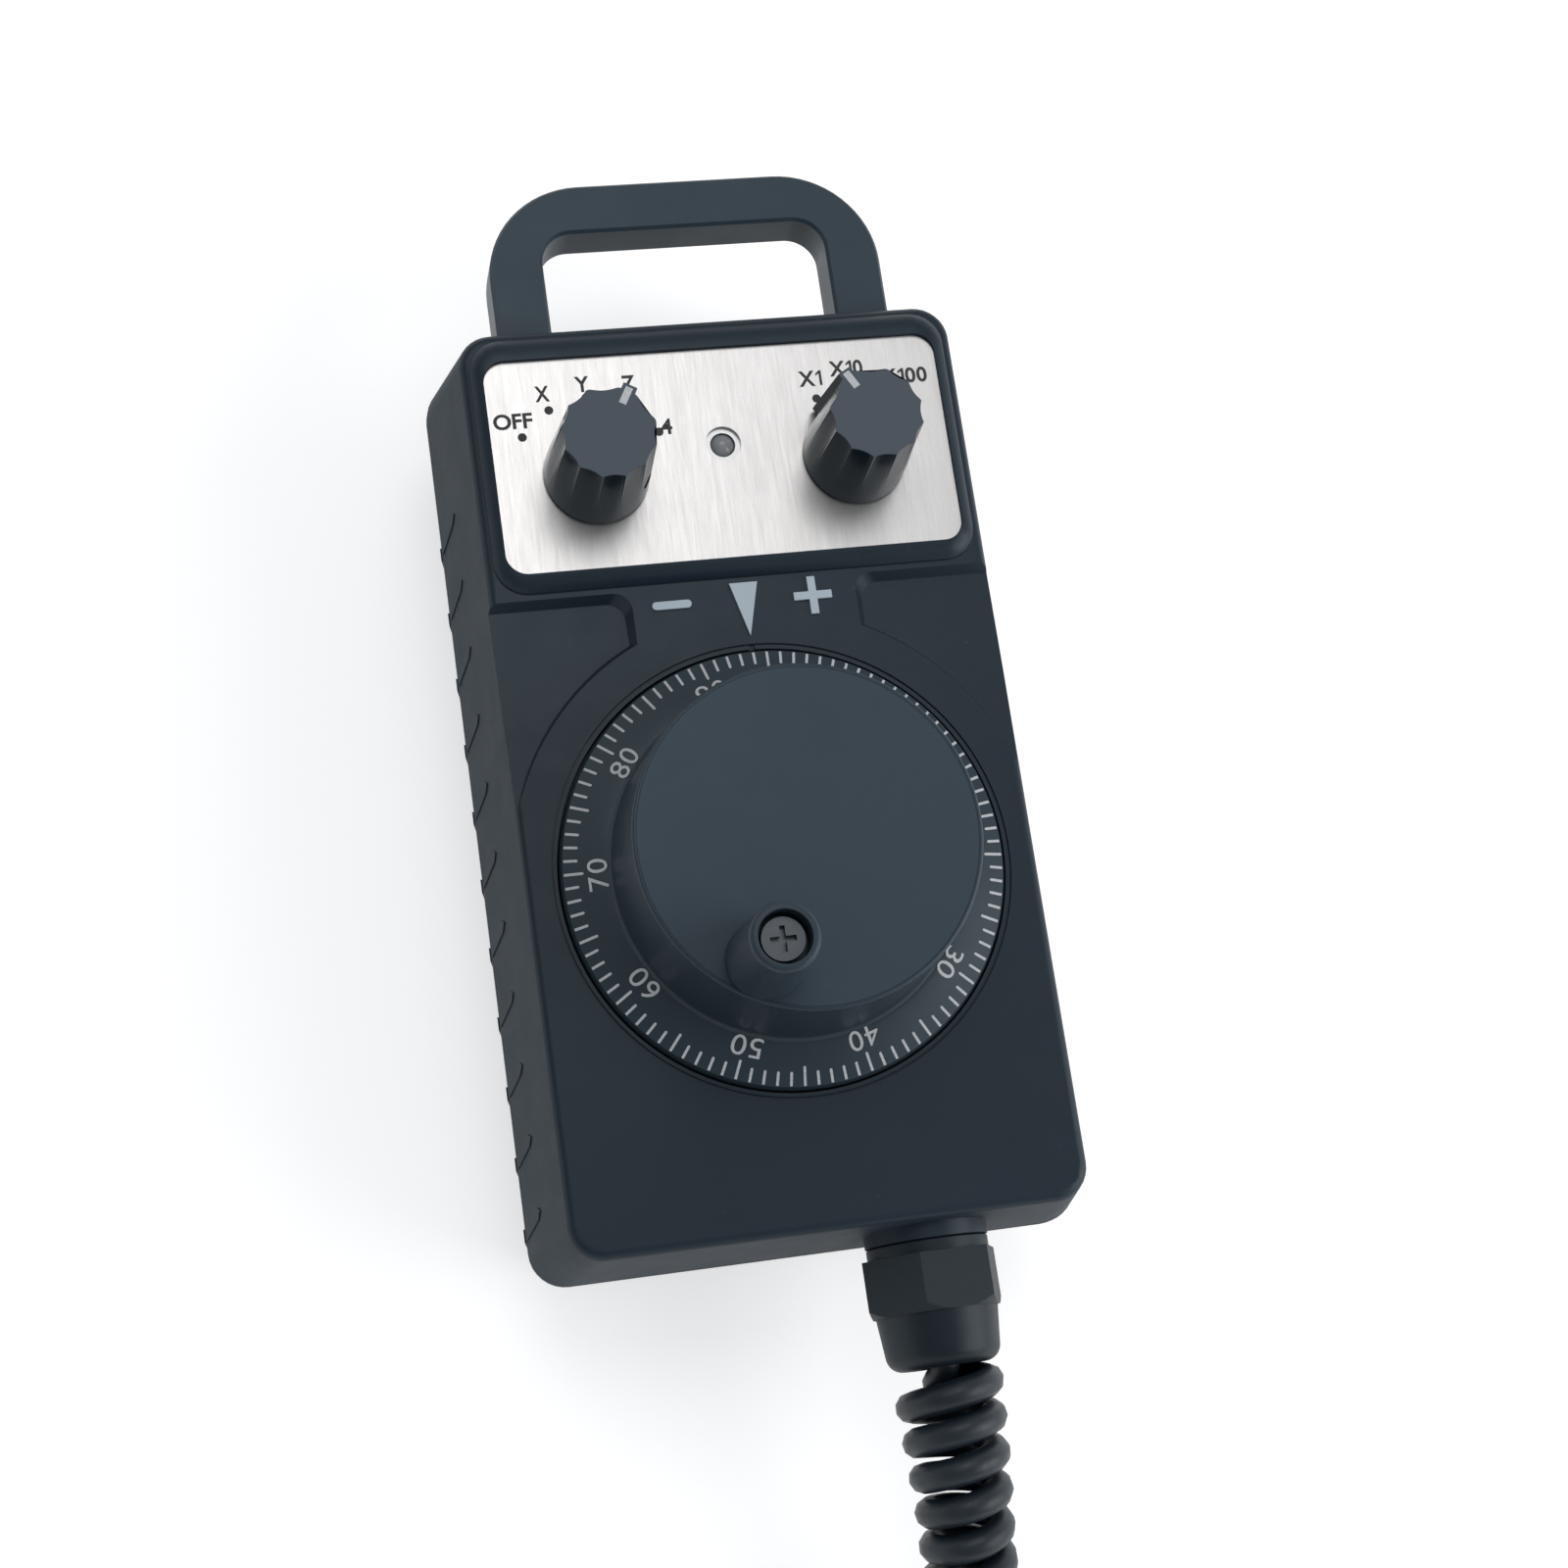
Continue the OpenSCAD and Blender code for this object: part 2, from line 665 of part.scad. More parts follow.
module crank_grip() {
    bottom_r = 5.1;
    top_r = 4.45;
    color("#2f3a42") at_crank() rotate_extrude() polygon(concat(
        [[2.7, grip_z], [bottom_r - 0.3, grip_z], [bottom_r, grip_z + 0.3]],
        arc(top_r - 0.7, grip_z + grip_h - 0.7, 0.7, 0, 90, 5),
        [[3.4, grip_z + grip_h], [3.4, grip_floor], [2.7, grip_floor]]));
}

module grip_bush() {
    color("goldenrod") at_crank() translate([0, 0, boss_z - cap_t]) difference() {
        cylinder(r = 2.6, h = bush_top - boss_z + cap_t);
        translate([0, 0, -1]) cylinder(r = screw_r, h = 30);
    }
}

module grip_screw() {
    color("dimgray") at_crank() translate([0, 0, bush_top])
        pan_screw(screw_r, bush_top - boss_z + 8, 2.75, 2.1);
}

module dial_seal() {
    color("#222222") translate([0, 0, dial_floor_z]) difference() {
        cylinder(r = dial_r, h = 0.5);
        translate([0, 0, -1]) cylinder(r = dial_r - 1.6, h = 3);
    }
}

// ---- pulse generator ----

bearing_r = 6.5;
bearing_w = 5;
spigot_top = dial_floor_z - 0.1;
cover_t = 2.5;

module encoder_shaft() {
    color("silver") difference() {
        translate([0, 0, encoder_bottom - cover_t + 1])
            cylinder(r = shaft_r, h = shaft_top - encoder_bottom + cover_t - 1);
        translate([0, 0, shaft_top - 8]) cylinder(r = screw_r, h = 10);
    }
}

module bearing(z) {
    translate([0, 0, z]) difference() {
        cylinder(r = bearing_r, h = bearing_w);
        translate([0, 0, -1]) cylinder(r = shaft_r + 0.05, h = bearing_w + 2);
    }
}

module encoder_bearings() {
    color("gainsboro") {
        bearing(spigot_top - bearing_w);
        bearing(encoder_bottom - cover_t + 1);
    }
}

module encoder_body() {
    color("silver") difference() {
        union() {
            translate([0, 0, encoder_bottom])
                cylinder(r = encoder_r, h = encoder_top - encoder_bottom, $fn = 96);
            translate([0, 0, encoder_top - 1]) cylinder(r = 9, h = spigot_top - encoder_top + 1);
        }
        translate([0, 0, encoder_bottom - 1])
            cylinder(r = encoder_r - 2, h = encoder_top - encoder_bottom - 2.2, $fn = 96);
        translate([0, 0, spigot_top - bearing_w]) cylinder(r = bearing_r, h = bearing_w + 1);
        cylinder(r = 4, h = encoder_top);
        for (a = [30 : 120 : 270]) rotate([0, 0, a]) translate([encoder_screw_r, 0, encoder_bottom])
            cylinder(r = screw_r, h = 30);
    }
}

module encoder_cover() {
    color("darkgray") difference() {
        union() {
            translate([0, 0, encoder_bottom - cover_t]) cylinder(r = encoder_r, h = cover_t, $fn = 96);
            translate([0, 0, encoder_bottom]) cylinder(r = encoder_r - 2, h = 1.5, $fn = 96);
            translate([0, 0, encoder_bottom]) cylinder(r = bearing_r + 1.4, h = 3.5);
        }
        translate([0, 0, encoder_bottom - cover_t + 1]) cylinder(r = bearing_r, h = 10);
        translate([0, 0, encoder_bottom - cover_t - 1]) cylinder(r = 4, h = 10);
    }
}

module encoder_screws() {
    color("silver") for (a = [30 : 120 : 270]) rotate([0, 0, a])
        translate([encoder_screw_r, 0, dial_floor_z]) pan_screw(screw_r, 6, 2.6, 1.5);
}

disc_z = 24;
slots = 50;

module code_disc() {
    color("#9a9a9a") difference() {
        union() {
            translate([0, 0, disc_z]) cylinder(r = 17, h = 0.6, $fn = 96);
            translate([0, 0, disc_z - 1.5]) cylinder(r = 5, h = 3.5);
        }
        translate([0, 0, disc_z - 3]) cylinder(r = shaft_r, h = 8);
        for (i = [0 : slots - 1]) rotate([0, 0, i * 360 / slots])
            translate([13.4, -0.45, disc_z - 1]) cube([2.6, 0.9, 3]);
    }
}

module encoder_board() {
    color("darkgreen") translate([0, 0, encoder_bottom + 1.5]) difference() {
        cylinder(r = encoder_r - 2.4, h = 1.2);
        translate([0, 0, -1]) cylinder(r = bearing_r + 1.6, h = 4);
    }
}

module optical_sensor() {
    color("#1c1c1c") translate([12, -3, encoder_bottom + 2.7]) difference() {
        cube([8, 6, 9.3]);
        translate([-1, -1, disc_z - 1 - encoder_bottom - 2.7]) cube([6.4, 8, 2.6]);
    }
}

module detent_wheel() {
    tip = 12;
    root = 11.6;
    color("silver") translate([0, 0, 27.4]) linear_extrude(2.4) difference() {
        polygon([for (i = [0 : 2 * teeth - 1]) let (r = i % 2 == 0 ? tip : root, a = i * 180 / teeth)
            [r * cos(a), r * sin(a)]]);
        circle(shaft_r);
    }
}

// Leaf spring with its roller, held on a post under the front wall of the encoder
module detent_spring() {
    color("lightsteelblue") {
        translate([-12.8, 14.2, 27.4]) cylinder(r = 1.5, h = encoder_top - 3.2 - 27.4);
        translate([-12.8, 13.9, 27.4]) cube([13.8, 0.4, 2.4]);
        translate([0, 13.1, 27.4]) cylinder(r = 1, h = 2.4);
    }
}

// ---- electrics ----

board_t = 1.6;

module main_board() {
    color("darkgreen") difference() {
        translate([-23.5, -37, seat_z]) cube([47, 81, board_t]);
        at_board_screws() translate([0, 0, seat_z - 1]) cylinder(r = 1.3, h = 4);
    }
}

module board_screws() {
    color("silver") at_board_screws() translate([0, 0, seat_z + board_t]) pan_screw(1.25, 3.4, 2.2, 1.5);
}

ways = 8;

module terminal_block() {
    color("seagreen") difference() {
        translate([-15, -36, seat_z + board_t]) cube([ways * 3.5 + 2, 8, 8.5]);
        for (i = [0 : ways - 1]) translate([-12.2 + i * 3.5, -32, seat_z + board_t + 5])
            cylinder(r = 1.3, h = 5, $fn = 24);
    }
}

// ---- cord ----

module on_gland_axis() {
    translate([gland_x, 0, gland_z]) rotate([90, 0, 0]) children();
}

nut_base = gland_face + collar_l;
dome_base = nut_base + gland_hex_l;
gland_r = 6;
nut_bore = 6.5;

module gland_body() {
    color("#23292d") on_gland_axis() rotate_extrude() polygon([
        [3, cord_end - 7.5], [gland_r, cord_end - 7.5], [gland_r, gland_face],
        [7.9, gland_face], [8.2, gland_face + 0.3], [8.2, nut_base], [nut_bore, nut_base],
        [nut_bore, dome_base - 0.8], [5, dome_base - 0.8], [5, dome_base - 3.6], [3, dome_base - 3.6]]);
}

module gland_nut() {
    color("#23292d") on_gland_axis() difference() {
        union() {
            intersection() {
                translate([0, 0, nut_base]) rotate([0, 0, 49.5]) cylinder(r = 9.7, h = gland_hex_l, $fn = 6);
                translate([0, 0, nut_base - 1]) cylinder(r1 = 17.2, r2 = 8.6, h = gland_hex_l + 1);
            }
            rotate_extrude() polygon(concat(
                [[0, dome_base - 1], [8.2, dome_base - 1], [8.2, dome_base]],
                arc(5.5, gland_mouth - 2.2, 2.2, 8, 90, 6), [[0, gland_mouth]]));
        }
        translate([0, 0, nut_base - 1]) cylinder(r = nut_bore, h = gland_hex_l + 0.4);
        translate([0, 0, dome_base - 1]) cylinder(r = 5, h = 5);
        translate([0, 0, dome_base]) cylinder(r = 4.4, h = 20);
    }
}

module gland_seal() {
    color("#101214") on_gland_axis() rotate_extrude() polygon([
        [strand_d / 2, dome_base - 3.6], [4.9, dome_base - 3.6], [4.9, dome_base + 3],
        [4.3, dome_base + 4], [4.3, dome_base + 5], [strand_d / 2, dome_base + 5]]);
}

module gland_locknut() {
    color("#23292d") on_gland_axis() translate([0, 0, cord_end - 7.3]) difference() {
        rotate([0, 0, 30]) cylinder(r = 8.5, h = 2.8, $fn = 6);
        translate([0, 0, -1]) cylinder(r = gland_r, h = 5);
    }
}

module cord_lead() {
    color("#17191b") on_gland_axis() translate([0, 0, cord_end - 10])
        cylinder(r = strand_d / 2, h = gland_mouth - cord_end + 10);
}

module coil_cord() color("#17191b") tube_along(cord_route, coil_d / 2, 10);

module cord_tail() color("#17191b") tube_along(tail_route, strand_d / 2, 8);

module cord_tie() {
    half = 24 + coil_d / 2 + 0.3;
    low = cord_route[12][2] - coil_d / 2 - 0.05;
    high = low + coil_d + 0.1;
    color("#2a2d30") translate([0, tie_y + tie_w / 2, 0]) rotate([90, 0, 0]) linear_extrude(tie_w)
        difference() {
            rounded_rect(2 * half + 2 * tie_t, low - tie_t, high + tie_t, 4 + tie_t);
            rounded_rect(2 * half, low, high, 4);
        }
}

module on_plug_axis() {
    end = tail_route[len(tail_route) - 1];
    translate(end) rotate([0, 90, 0]) children();
}

module plug_body() {
    color("silver") on_plug_axis() rotate_extrude() polygon([
        [0, 0], [3.4, 0], [5.6, 9], [6.6, 10], [7.2, 13], [7.2, 20], [7.6, 20.4], [7.6, 37.5],
        [7.2, 38], [7.2, plug_l], [6.4, plug_l], [6.4, plug_l - 2], [0, plug_l - 2]]);
}

module plug_insert() {
    color("#151515") on_plug_axis() translate([0, 0, plug_l - 2]) cylinder(r = 6.4, h = 1.6);
}

module plug_ring() {
    color("gainsboro") on_plug_axis() difference() {
        translate([0, 0, 22]) cylinder(r = plug_r + 1.3, h = 15);
        translate([0, 0, 20]) cylinder(r = 7.65, h = 20);
        for (i = [0 : 17]) rotate([0, 0, i * 20]) translate([plug_r + 1.9, 0, 24])
            cylinder(r = 0.9, h = 11, $fn = 24);
    }
}

front_housing();
rear_housing();
housing_gasket();
housing_screws();
carry_handle();
face_plate();
minus_mark();
pointer_mark();
plus_mark();
axis_knob();
axis_knob_line();
axis_knob_screw();
axis_shaft();
axis_switch();
axis_switch_nut();
multiplier_knob();
multiplier_knob_line();
multiplier_knob_screw();
multiplier_shaft();
multiplier_switch();
multiplier_switch_nut();
led_lens();
led_holder();
handwheel_dial();
dial_cap();
dial_screw();
crank_grip();
grip_bush();
grip_screw();
dial_seal();
encoder_shaft();
encoder_bearings();
encoder_body();
encoder_cover();
encoder_screws();
code_disc();
optical_sensor();
encoder_board();
detent_wheel();
detent_spring();
main_board();
board_screws();
terminal_block();
gland_body();
gland_nut();
gland_seal();
gland_locknut();
cord_lead();
coil_cord();
cord_tail();
cord_tie();
plug_body();
plug_insert();
plug_ring();
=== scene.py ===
import json
import math

import bmesh
import bpy
import numpy as np
from mathutils import Matrix, Vector


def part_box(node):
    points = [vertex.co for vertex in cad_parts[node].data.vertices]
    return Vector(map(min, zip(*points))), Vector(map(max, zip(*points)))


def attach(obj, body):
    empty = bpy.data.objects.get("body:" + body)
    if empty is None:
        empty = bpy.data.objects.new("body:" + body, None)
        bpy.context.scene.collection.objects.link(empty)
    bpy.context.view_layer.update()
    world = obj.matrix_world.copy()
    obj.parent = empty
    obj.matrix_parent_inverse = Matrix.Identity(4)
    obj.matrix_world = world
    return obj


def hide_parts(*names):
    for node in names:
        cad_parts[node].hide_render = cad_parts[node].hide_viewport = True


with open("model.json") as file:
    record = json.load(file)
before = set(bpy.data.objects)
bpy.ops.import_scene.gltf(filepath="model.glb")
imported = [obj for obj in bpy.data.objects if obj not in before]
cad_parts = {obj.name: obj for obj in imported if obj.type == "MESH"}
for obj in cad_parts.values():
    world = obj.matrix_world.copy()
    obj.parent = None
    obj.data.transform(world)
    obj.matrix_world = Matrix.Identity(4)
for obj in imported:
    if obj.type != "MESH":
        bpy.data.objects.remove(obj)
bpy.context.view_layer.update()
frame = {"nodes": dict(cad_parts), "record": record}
NODES = frame["nodes"]
MM = 0.001
RANGE_SOCKETS = ("From Min", "From Max", "To Min", "To Max")


# ---- camera, backdrop and light ----

CAMERA_PLACE = (-75.50, -75.27, 404.85)
CAMERA_RIGHT = (0.97466, -0.14283, 0.17213)
CAMERA_UP = (0.09723, 0.96360, 0.24903)
LENS = 65.49
SKY_STRENGTH = 0.36
BACKDROP_TOP = (0.3, 0.5)
FLOOR_HALF = 3.0
FLOOR_GREY = 0.86
FLOOR_GLOW = 0.55


def make_camera():
    """The camera above the lower left of the face, looking up towards the loop."""
    right = Vector(CAMERA_RIGHT)
    up = Vector(CAMERA_UP)
    back = right.cross(up)
    data = bpy.data.cameras.new("camera")
    data.sensor_width = 36
    data.lens = LENS
    data.clip_end = 50
    camera = bpy.data.objects.new("camera", data)
    bpy.context.scene.collection.objects.link(camera)
    turn = Matrix((right, up, back)).transposed().to_4x4()
    camera.matrix_world = Matrix.Translation(Vector(CAMERA_PLACE) * MM) @ turn
    bpy.context.scene.camera = camera


def glowing(tree, kind, color, strength):
    """A background or emission node."""
    node = tree.nodes.new(kind)
    node.inputs["Color"].default_value = (*color, 1)
    node.inputs["Strength"].default_value = strength
    return node


def seen_directly(tree):
    """1 on camera, glossy and transmission rays, 0 on the rays that light the object."""
    path = tree.nodes.new("ShaderNodeLightPath")
    total = path.outputs["Is Camera Ray"]
    for name in ("Is Glossy Ray", "Is Transmission Ray"):
        add = tree.nodes.new("ShaderNodeMath")
        add.operation = "MAXIMUM"
        tree.links.new(total, add.inputs[0])
        tree.links.new(path.outputs[name], add.inputs[1])
        total = add.outputs[0]
    return total


def make_world():
    """Soft light from all round, with a white backdrop low on the horizon.

    The white ends between the two slopes of BACKDROP_TOP, and doesn't light the object.
    """
    world = bpy.data.worlds.new("studio")
    bpy.context.scene.world = world
    world.use_nodes = True
    tree = world.node_tree
    tree.nodes.clear()
    sky = glowing(tree, "ShaderNodeBackground", (0.92, 0.96, 1.0), SKY_STRENGTH)
    white = glowing(tree, "ShaderNodeBackground", (1, 1, 1), 1.0)
    coords = tree.nodes.new("ShaderNodeTexCoord")
    split = tree.nodes.new("ShaderNodeSeparateXYZ")
    low = tree.nodes.new("ShaderNodeMapRange")
    for socket, number in zip(RANGE_SOCKETS, (*BACKDROP_TOP, 1.0, 0.0)):
        low.inputs[socket].default_value = number
    backdrop = tree.nodes.new("ShaderNodeMath")
    backdrop.operation = "MULTIPLY"
    mix = tree.nodes.new("ShaderNodeMixShader")
    out = tree.nodes.new("ShaderNodeOutputWorld")
    tree.links.new(coords.outputs["Generated"], split.inputs[0])
    tree.links.new(split.outputs["Z"], low.inputs["Value"])
    tree.links.new(low.outputs["Result"], backdrop.inputs[0])
    tree.links.new(seen_directly(tree), backdrop.inputs[1])
    tree.links.new(backdrop.outputs[0], mix.inputs[0])
    tree.links.new(sky.outputs[0], mix.inputs[1])
    tree.links.new(white.outputs[0], mix.inputs[2])
    tree.links.new(mix.outputs[0], out.inputs["Surface"])


def make_floor():
    """A white floor that keeps the object's shadow."""
    corners = [(x * FLOOR_HALF, y * FLOOR_HALF, 0) for x, y in ((-1, -1), (1, -1), (1, 1), (-1, 1))]
    mesh = bpy.data.meshes.new("floor")
    mesh.from_pydata(corners, [], [(0, 1, 2, 3)])
    floor = bpy.data.objects.new("floor", mesh)
    bpy.context.scene.collection.objects.link(floor)
    material = bpy.data.materials.new("floor_white")
    material.use_nodes = True
    tree = material.node_tree
    tree.nodes.clear()
    matte = tree.nodes.new("ShaderNodeBsdfDiffuse")
    matte.inputs["Color"].default_value = (FLOOR_GREY, FLOOR_GREY, FLOOR_GREY, 1)
    glow = glowing(tree, "ShaderNodeEmission", (1, 1, 1), FLOOR_GLOW)
    add = tree.nodes.new("ShaderNodeAddShader")
    mix = tree.nodes.new("ShaderNodeMixShader")
    out = tree.nodes.new("ShaderNodeOutputMaterial")
    tree.links.new(seen_directly(tree), mix.inputs[0])
    tree.links.new(matte.outputs[0], mix.inputs[1])
    tree.links.new(matte.outputs[0], add.inputs[0])
    tree.links.new(glow.outputs[0], add.inputs[1])
    tree.links.new(add.outputs[0], mix.inputs[2])
    tree.links.new(mix.outputs[0], out.inputs["Surface"])
    mesh.materials.append(material)


def area_light(name, place, width, depth, power):
    """A soft lamp that points at the middle of the object. Metres and watts."""
    middle = Vector((0, 0, 0.03))
    data = bpy.data.lights.new(name, "AREA")
    data.shape = "RECTANGLE"
    data.size = width
    data.size_y = depth
    data.energy = power
    lamp = bpy.data.objects.new(name, data)
    bpy.context.scene.collection.objects.link(lamp)
    lamp.location = place
    lamp.rotation_euler = (middle - Vector(place)).to_track_quat("-Z", "Y").to_euler()


make_camera()
make_world()
make_floor()
area_light("key", place=(-0.02, 0.38, 0.90), width=0.55, depth=0.46, power=1.7)
area_light("fill", place=(0.75, -0.25, 0.55), width=0.70, depth=0.70, power=4.2)
bpy.context.scene.view_settings.view_transform = "Standard"


# ---- material tools ----

DUST = (0.22, 0.25, 0.28)


class Paint:
    """A material with one Principled shader and short calls for the nodes that feed it."""

    def __init__(self, name, color, roughness, **sockets):
        self.material = bpy.data.materials.new(name)
        self.material.use_nodes = True
        self.tree = self.material.node_tree
        self.shader = self.tree.nodes["Principled BSDF"]
        self.shader.inputs["Base Color"].default_value = (*color, 1)
        self.shader.inputs["Roughness"].default_value = roughness
        for socket, value in sockets.items():
            self.shader.inputs[socket.replace("_", " ")].default_value = value

    def node(self, kind, **values):
        node = self.tree.nodes.new(kind)
        for key, value in values.items():
            setattr(node, key, value)
        return node

    def join(self, source, target):
        self.tree.links.new(source, target)

    def place(self, stretch=(1, 1, 1)):
        """Place on the object in metres, stretched along each axis."""
        coords = self.node("ShaderNodeTexCoord")
        mapping = self.node("ShaderNodeMapping")
        mapping.inputs["Scale"].default_value = stretch
        self.join(coords.outputs["Object"], mapping.inputs["Vector"])
        return mapping.outputs["Vector"]

    def noise(self, scale, detail=2.0, roughness=0.5, stretch=(1, 1, 1)):
        node = self.node("ShaderNodeTexNoise")
        node.inputs["Scale"].default_value = scale
        node.inputs["Detail"].default_value = detail
        node.inputs["Roughness"].default_value = roughness
        self.join(self.place(stretch), node.inputs["Vector"])
        return node.outputs["Fac"]

    def cells(self, scale):
        """Distance to scattered points, for specks."""
        node = self.node("ShaderNodeTexVoronoi")
        node.inputs["Scale"].default_value = scale
        self.join(self.place(), node.inputs["Vector"])
        return node.outputs["Distance"]

    def band(self, value, low, high, out_low=0.0, out_high=1.0):
        """out_low where value is under low, out_high over high, and a straight line between."""
        node = self.node("ShaderNodeMapRange")
        for socket, number in zip(RANGE_SOCKETS, (low, high, out_low, out_high)):
            node.inputs[socket].default_value = number
        self.join(value, node.inputs["Value"])
        return node.outputs["Result"]

    def height(self, low, high):
        """0 below the height low, 1 above high, in metres."""
        split = self.node("ShaderNodeSeparateXYZ")
        self.join(self.place(), split.inputs[0])
        return self.band(split.outputs["Z"], low, high)

    def upright(self, low, high):
        """1 on walls, 0 on surfaces that face up or down. The normal's Z goes from low to high."""
        geometry = self.node("ShaderNodeNewGeometry")
        split = self.node("ShaderNodeSeparateXYZ")
        self.join(geometry.outputs["True Normal"], split.inputs[0])
        return self.band(self.math("ABSOLUTE", split.outputs["Z"], 0.0), low, high, 1.0, 0.0)

    def math(self, operation, a, b):
        node = self.node("ShaderNodeMath", operation=operation)
        for socket, value in zip(node.inputs, (a, b)):
            if isinstance(value, (int, float)):
                socket.default_value = value
            else:
                self.join(value, socket)
        return node.outputs[0]

    def tint(self, mask, color_a, color_b):
        """A colour that goes from color_a to color_b with mask. Each is a colour or a socket."""
        node = self.node("ShaderNodeMix", data_type="RGBA")
        self.join(mask, node.inputs[0])
        for socket, value in ((node.inputs[6], color_a), (node.inputs[7], color_b)):
            if isinstance(value, tuple):
                socket.default_value = (*value, 1)
            else:
                self.join(value, socket)
        return node.outputs[2]

    def color(self, socket):
        self.join(socket, self.shader.inputs["Base Color"])

    def rough(self, socket):
        self.join(socket, self.shader.inputs["Roughness"])

    def bump(self, height, distance):
        node = self.node("ShaderNodeBump")
        node.inputs["Distance"].default_value = distance
        self.join(height, node.inputs["Height"])
        self.join(node.outputs["Normal"], self.shader.inputs["Normal"])


def shade(color, factor):
    return tuple(part * factor for part in color)


def clouded(paint, pattern, dark, light):
    """Colour that drifts from dark to light with a noise pattern."""
    paint.color(paint.tint(paint.band(pattern, 0.3, 0.7), dark, light))


def moulded(name, color, roughness, specks=True, wall_roughness=0.0):
    """Satin moulded plastic: a fine spark grain, slow changes of tone and gloss, and dust.

    The walls can be rougher than the face.
    """
    grain = 0.012 * MM
    paint = Paint(name, color, roughness, Specular_IOR_Level=0.37,
                  Specular_Tint=(0.84, 0.95, 1.0, 1))
    cloud = paint.band(paint.noise(24, 4.0), 0.3, 0.7)
    tone = paint.tint(cloud, shade(color, 0.95), shade(color, 1.06))
    if specks:
        dust_size = paint.band(paint.noise(300, 1.0), 0.62, 0.80, 0.0, 0.11)
        dust = paint.math("LESS_THAN", paint.cells(900), dust_size)
        tone = paint.tint(paint.math("MULTIPLY", dust, 0.5), tone, DUST)
    paint.color(tone)
    gloss = paint.band(paint.noise(160, 4.0, 0.6), 0.3, 0.7, roughness - 0.03, roughness + 0.03)
    if wall_roughness > roughness:
        walls = paint.math("MULTIPLY", paint.upright(0.35, 0.7), wall_roughness - roughness)
        gloss = paint.math("ADD", gloss, walls)
    paint.rough(gloss)
    paint.bump(paint.noise(5200, 2.0, 0.6), grain)
    return paint.material


def brushed(name, color, roughness, stretch, depth=0.0015):
    """Brushed metal with a speckled grain. stretch sets the direction of the scratches."""
    paint = Paint(name, color, roughness, Metallic=1.0)
    scratches = paint.noise(7000, 3.0, 0.6, stretch)
    broad = paint.noise(1800, 2.0, 0.5, stretch)
    grain = paint.noise(6500, 2.0)
    fine_part = paint.math("MULTIPLY", scratches, 0.45)
    broad_part = paint.math("MULTIPLY", broad, 0.2)
    grain_part = paint.math("MULTIPLY", grain, 0.35)
    surface = paint.math("ADD", paint.math("ADD", fine_part, broad_part), grain_part)
    paint.color(paint.tint(paint.band(surface, 0.38, 0.62), shade(color, 0.93), shade(color, 1.05)))
    paint.rough(paint.band(surface, 0.35, 0.65, roughness + 0.04, roughness - 0.04))
    paint.bump(surface, depth * MM)
    return paint.material


def plain_metal(name, color, roughness):
    """Turned or cast metal, with a fine grain in no direction."""
    return brushed(name, color, roughness, (1, 1, 1), 0.0008)


def print_ink(name, color):
    """Screen-printed ink, a little uneven."""
    paint = Paint(name, color, 0.55)
    coverage = paint.band(paint.noise(3000, 2.0), 0.35, 0.65)
    paint.color(paint.tint(coverage, shade(color, 0.85), color))
    paint.bump(paint.noise(4000, 1.0), 0.002 * MM)
    return paint.material


def knob_plastic(name, top):
    """Gloss black sides and a matte top, painted greyer as painted light from above. top is the height
    of the knob's top.
    """
    side_color = (0.006, 0.014, 0.022)
    top_color_painted_light = (0.086, 0.102, 0.124)
    top_roughness = 0.62
    paint = Paint(name, side_color, 0.14, Specular_IOR_Level=0.3, Specular_Tint=(0.75, 0.9, 1.0, 1))
    above = paint.height(top - 0.25 * MM, top - 0.12 * MM)
    # The top's greyer colour is painted light from above
    paint.color(paint.tint(above, side_color, top_color_painted_light))
    side_gloss = paint.band(paint.noise(300, 2.0), 0.3, 0.7, 0.12, 0.2)
    rough = paint.node("ShaderNodeMix")
    paint.join(above, rough.inputs[0])
    paint.join(side_gloss, rough.inputs[2])
    rough.inputs[3].default_value = top_roughness
    paint.rough(rough.outputs[0])
    paint.bump(paint.noise(4500, 2.0), 0.003 * MM)
    return paint.material


def rubber(name, color, roughness):
    """Matte rubber or cord jacket, mottled and finely pitted."""
    paint = Paint(name, color, roughness, Specular_IOR_Level=0.45)
    clouded(paint, paint.noise(120, 3.0), shade(color, 0.85), shade(color, 1.15))
    paint.rough(paint.band(paint.noise(700, 3.0), 0.3, 0.7, roughness - 0.06, roughness + 0.08))
    paint.bump(paint.noise(3800, 2.0, 0.6), 0.01 * MM)
    return paint.material


def woven(name, color):
    """Hook-and-loop strap: a small over-and-under weave."""
    paint = Paint(name, color, 0.9, Sheen_Weight=0.3)
    wave_a = paint.node("ShaderNodeTexWave")
    wave_b = paint.node("ShaderNodeTexWave")
    for wave, direction in ((wave_a, "X"), (wave_b, "Y")):
        wave.bands_direction = direction
        wave.inputs["Scale"].default_value = 260
        paint.join(paint.place(), wave.inputs["Vector"])
    weave = paint.math("MULTIPLY", wave_a.outputs["Fac"], wave_b.outputs["Fac"])
    paint.color(paint.tint(weave, shade(color, 0.7), shade(color, 1.5)))
    paint.bump(weave, 0.12 * MM)
    return paint.material


def milky_lens(name):
    """Clear lamp lens with a little haze in it."""
    haze = (0.62, 0.65, 0.69)
    clear = (0.76, 0.79, 0.82)
    paint = Paint(name, haze, 0.08, Transmission_Weight=0.55, IOR=1.5)
    clouded(paint, paint.noise(600, 2.0), haze, clear)
    paint.bump(paint.noise(2000, 1.0), 0.001 * MM)
    return paint.material


# ---- CAD nodes: finishes and shading ----

KNOB_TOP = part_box("axis_knob")[1].z
